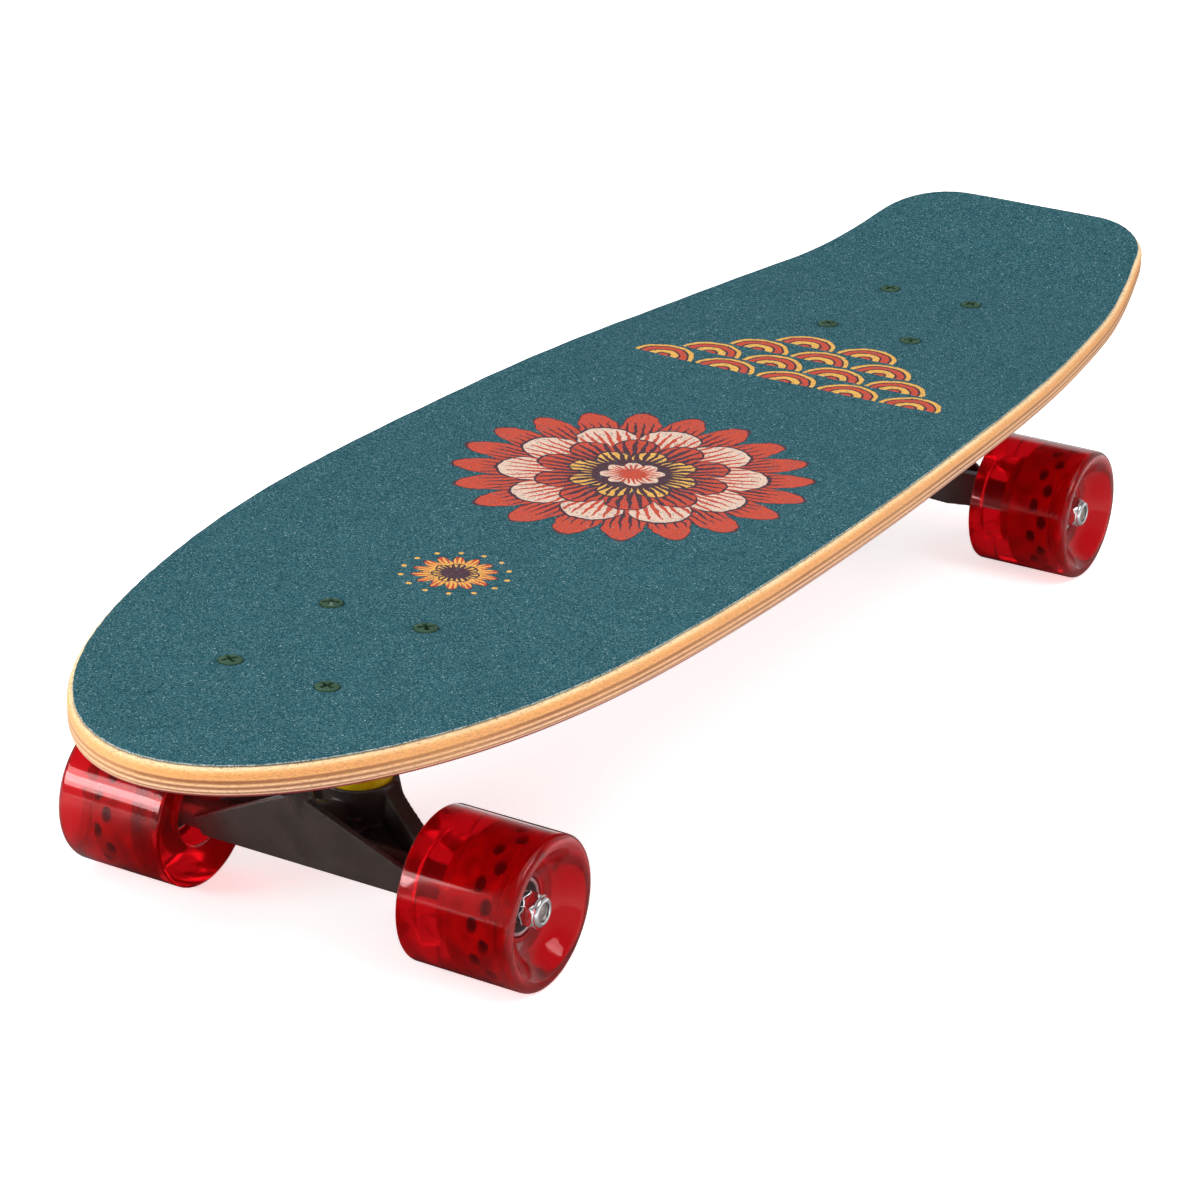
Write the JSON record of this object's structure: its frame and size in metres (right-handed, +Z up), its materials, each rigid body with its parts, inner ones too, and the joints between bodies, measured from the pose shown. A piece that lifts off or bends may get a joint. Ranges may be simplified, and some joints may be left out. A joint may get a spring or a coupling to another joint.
{
  "type": "cruiser skateboard",
  "caption": "Short kicktail cruiser skateboard with a gripped maple deck, sprung steering trucks and clear wide wheels.",
  "frame": {"origin": "on the ground, under the middle of the deck's length and width", "axes": "+X to the nose, +Y to the rider's left when facing the nose, +Z up"},
  "size_m": [0.724, 0.216, 0.1253],
  "materials": {
    "maple_plies": "satin, seven glued plies showing on the edge, red stain underneath",
    "grit_sheet": "coarse grit, teal",
    "riser_rubber": "matte black",
    "cast_aluminium_dark": "cast, painted dark grey, satin",
    "graphite_aluminium": "cast, dark brown-grey, satin",
    "black_urethane": "satin black",
    "zinc_steel": "bright zinc",
    "yellow_urethane": "satin yellow",
    "dark_zinc_steel": "dark olive zinc",
    "clear_red_urethane": "clear deep red, glossy",
    "clear_red_core": "dark clear red",
    "bearing_steel": "polished ring with a black shield"
  },
  "bodies": {
    "deck": {"deck": "maple_plies", "grip_tape": "grit_sheet", "riser_pad_front": "riser_rubber", "baseplate_front": "cast_aluminium_dark", "pivot_cup_front": "black_urethane", "kingpin_front": "zinc_steel", "kingpin_nut_front": "zinc_steel", "board_bushing_front": "yellow_urethane", "road_bushing_front": "yellow_urethane", "upper_cup_washer_front": "zinc_steel", "lower_cup_washer_front": "zinc_steel", "truck_bolt_front_1": "dark_zinc_steel", "truck_bolt_front_2": "dark_zinc_steel", "truck_bolt_front_3": "dark_zinc_steel", "truck_bolt_front_4": "dark_zinc_steel", "locknut_front_1": "dark_zinc_steel", "locknut_front_2": "dark_zinc_steel", "locknut_front_3": "dark_zinc_steel", "locknut_front_4": "dark_zinc_steel", "riser_pad_rear": "riser_rubber", "baseplate_rear": "cast_aluminium_dark", "pivot_cup_rear": "black_urethane", "kingpin_rear": "zinc_steel", "kingpin_nut_rear": "zinc_steel", "board_bushing_rear": "yellow_urethane", "road_bushing_rear": "yellow_urethane", "upper_cup_washer_rear": "zinc_steel", "lower_cup_washer_rear": "zinc_steel", "truck_bolt_rear_1": "dark_zinc_steel", "truck_bolt_rear_2": "dark_zinc_steel", "truck_bolt_rear_3": "dark_zinc_steel", "truck_bolt_rear_4": "dark_zinc_steel", "locknut_rear_1": "dark_zinc_steel", "locknut_rear_2": "dark_zinc_steel", "locknut_rear_3": "dark_zinc_steel", "locknut_rear_4": "dark_zinc_steel"},
    "hanger_front": {"hanger_front": "graphite_aluminium", "axle_front": "zinc_steel", "axle_nut_front_left": "zinc_steel", "axle_nut_front_right": "zinc_steel"},
    "wheel_front_left": {"tyre_front_left": "clear_red_urethane", "core_front_left": "clear_red_core", "bearing_front_left_inner": "bearing_steel", "bearing_front_left_outer": "bearing_steel"},
    "wheel_front_right": {"tyre_front_right": "clear_red_urethane", "core_front_right": "clear_red_core", "bearing_front_right_inner": "bearing_steel", "bearing_front_right_outer": "bearing_steel"},
    "hanger_rear": {"hanger_rear": "graphite_aluminium", "axle_rear": "zinc_steel", "axle_nut_rear_left": "zinc_steel", "axle_nut_rear_right": "zinc_steel"},
    "wheel_rear_left": {"tyre_rear_left": "clear_red_urethane", "core_rear_left": "clear_red_core", "bearing_rear_left_inner": "bearing_steel", "bearing_rear_left_outer": "bearing_steel"},
    "wheel_rear_right": {"tyre_rear_right": "clear_red_urethane", "core_rear_right": "clear_red_core", "bearing_rear_right_inner": "bearing_steel", "bearing_rear_right_outer": "bearing_steel"}
  },
  "joints": [
    {"name": "steer_front", "type": "hinge", "parent": "deck", "child": "hanger_front", "pos_m": [0.2242, 0, 0.04066], "axis": [0.8508, 0, 0.5255], "range_deg": [-15, 15], "stiffness_Nm_per_rad": 25, "deforming": ["board_bushing_front", "road_bushing_front"]},
    {"name": "steer_rear", "type": "hinge", "parent": "deck", "child": "hanger_rear", "pos_m": [-0.194, 0, 0.04066], "axis": [-0.8508, 0, 0.5255], "range_deg": [-15, 15], "stiffness_Nm_per_rad": 25, "deforming": ["board_bushing_rear", "road_bushing_rear"]},
    {"name": "spin_front_left", "type": "hinge", "parent": "hanger_front", "child": "wheel_front_left", "pos_m": [0.2519, 0.0749, 0.02936], "axis": [0, 1, 0], "continuous": true},
    {"name": "spin_front_right", "type": "hinge", "parent": "hanger_front", "child": "wheel_front_right", "pos_m": [0.2519, -0.0749, 0.02936], "axis": [0, 1, 0], "continuous": true},
    {"name": "spin_rear_left", "type": "hinge", "parent": "hanger_rear", "child": "wheel_rear_left", "pos_m": [-0.2217, 0.0749, 0.02936], "axis": [0, 1, 0], "continuous": true},
    {"name": "spin_rear_right", "type": "hinge", "parent": "hanger_rear", "child": "wheel_rear_right", "pos_m": [-0.2217, -0.0749, 0.02936], "axis": [0, 1, 0], "continuous": true}
  ]
}
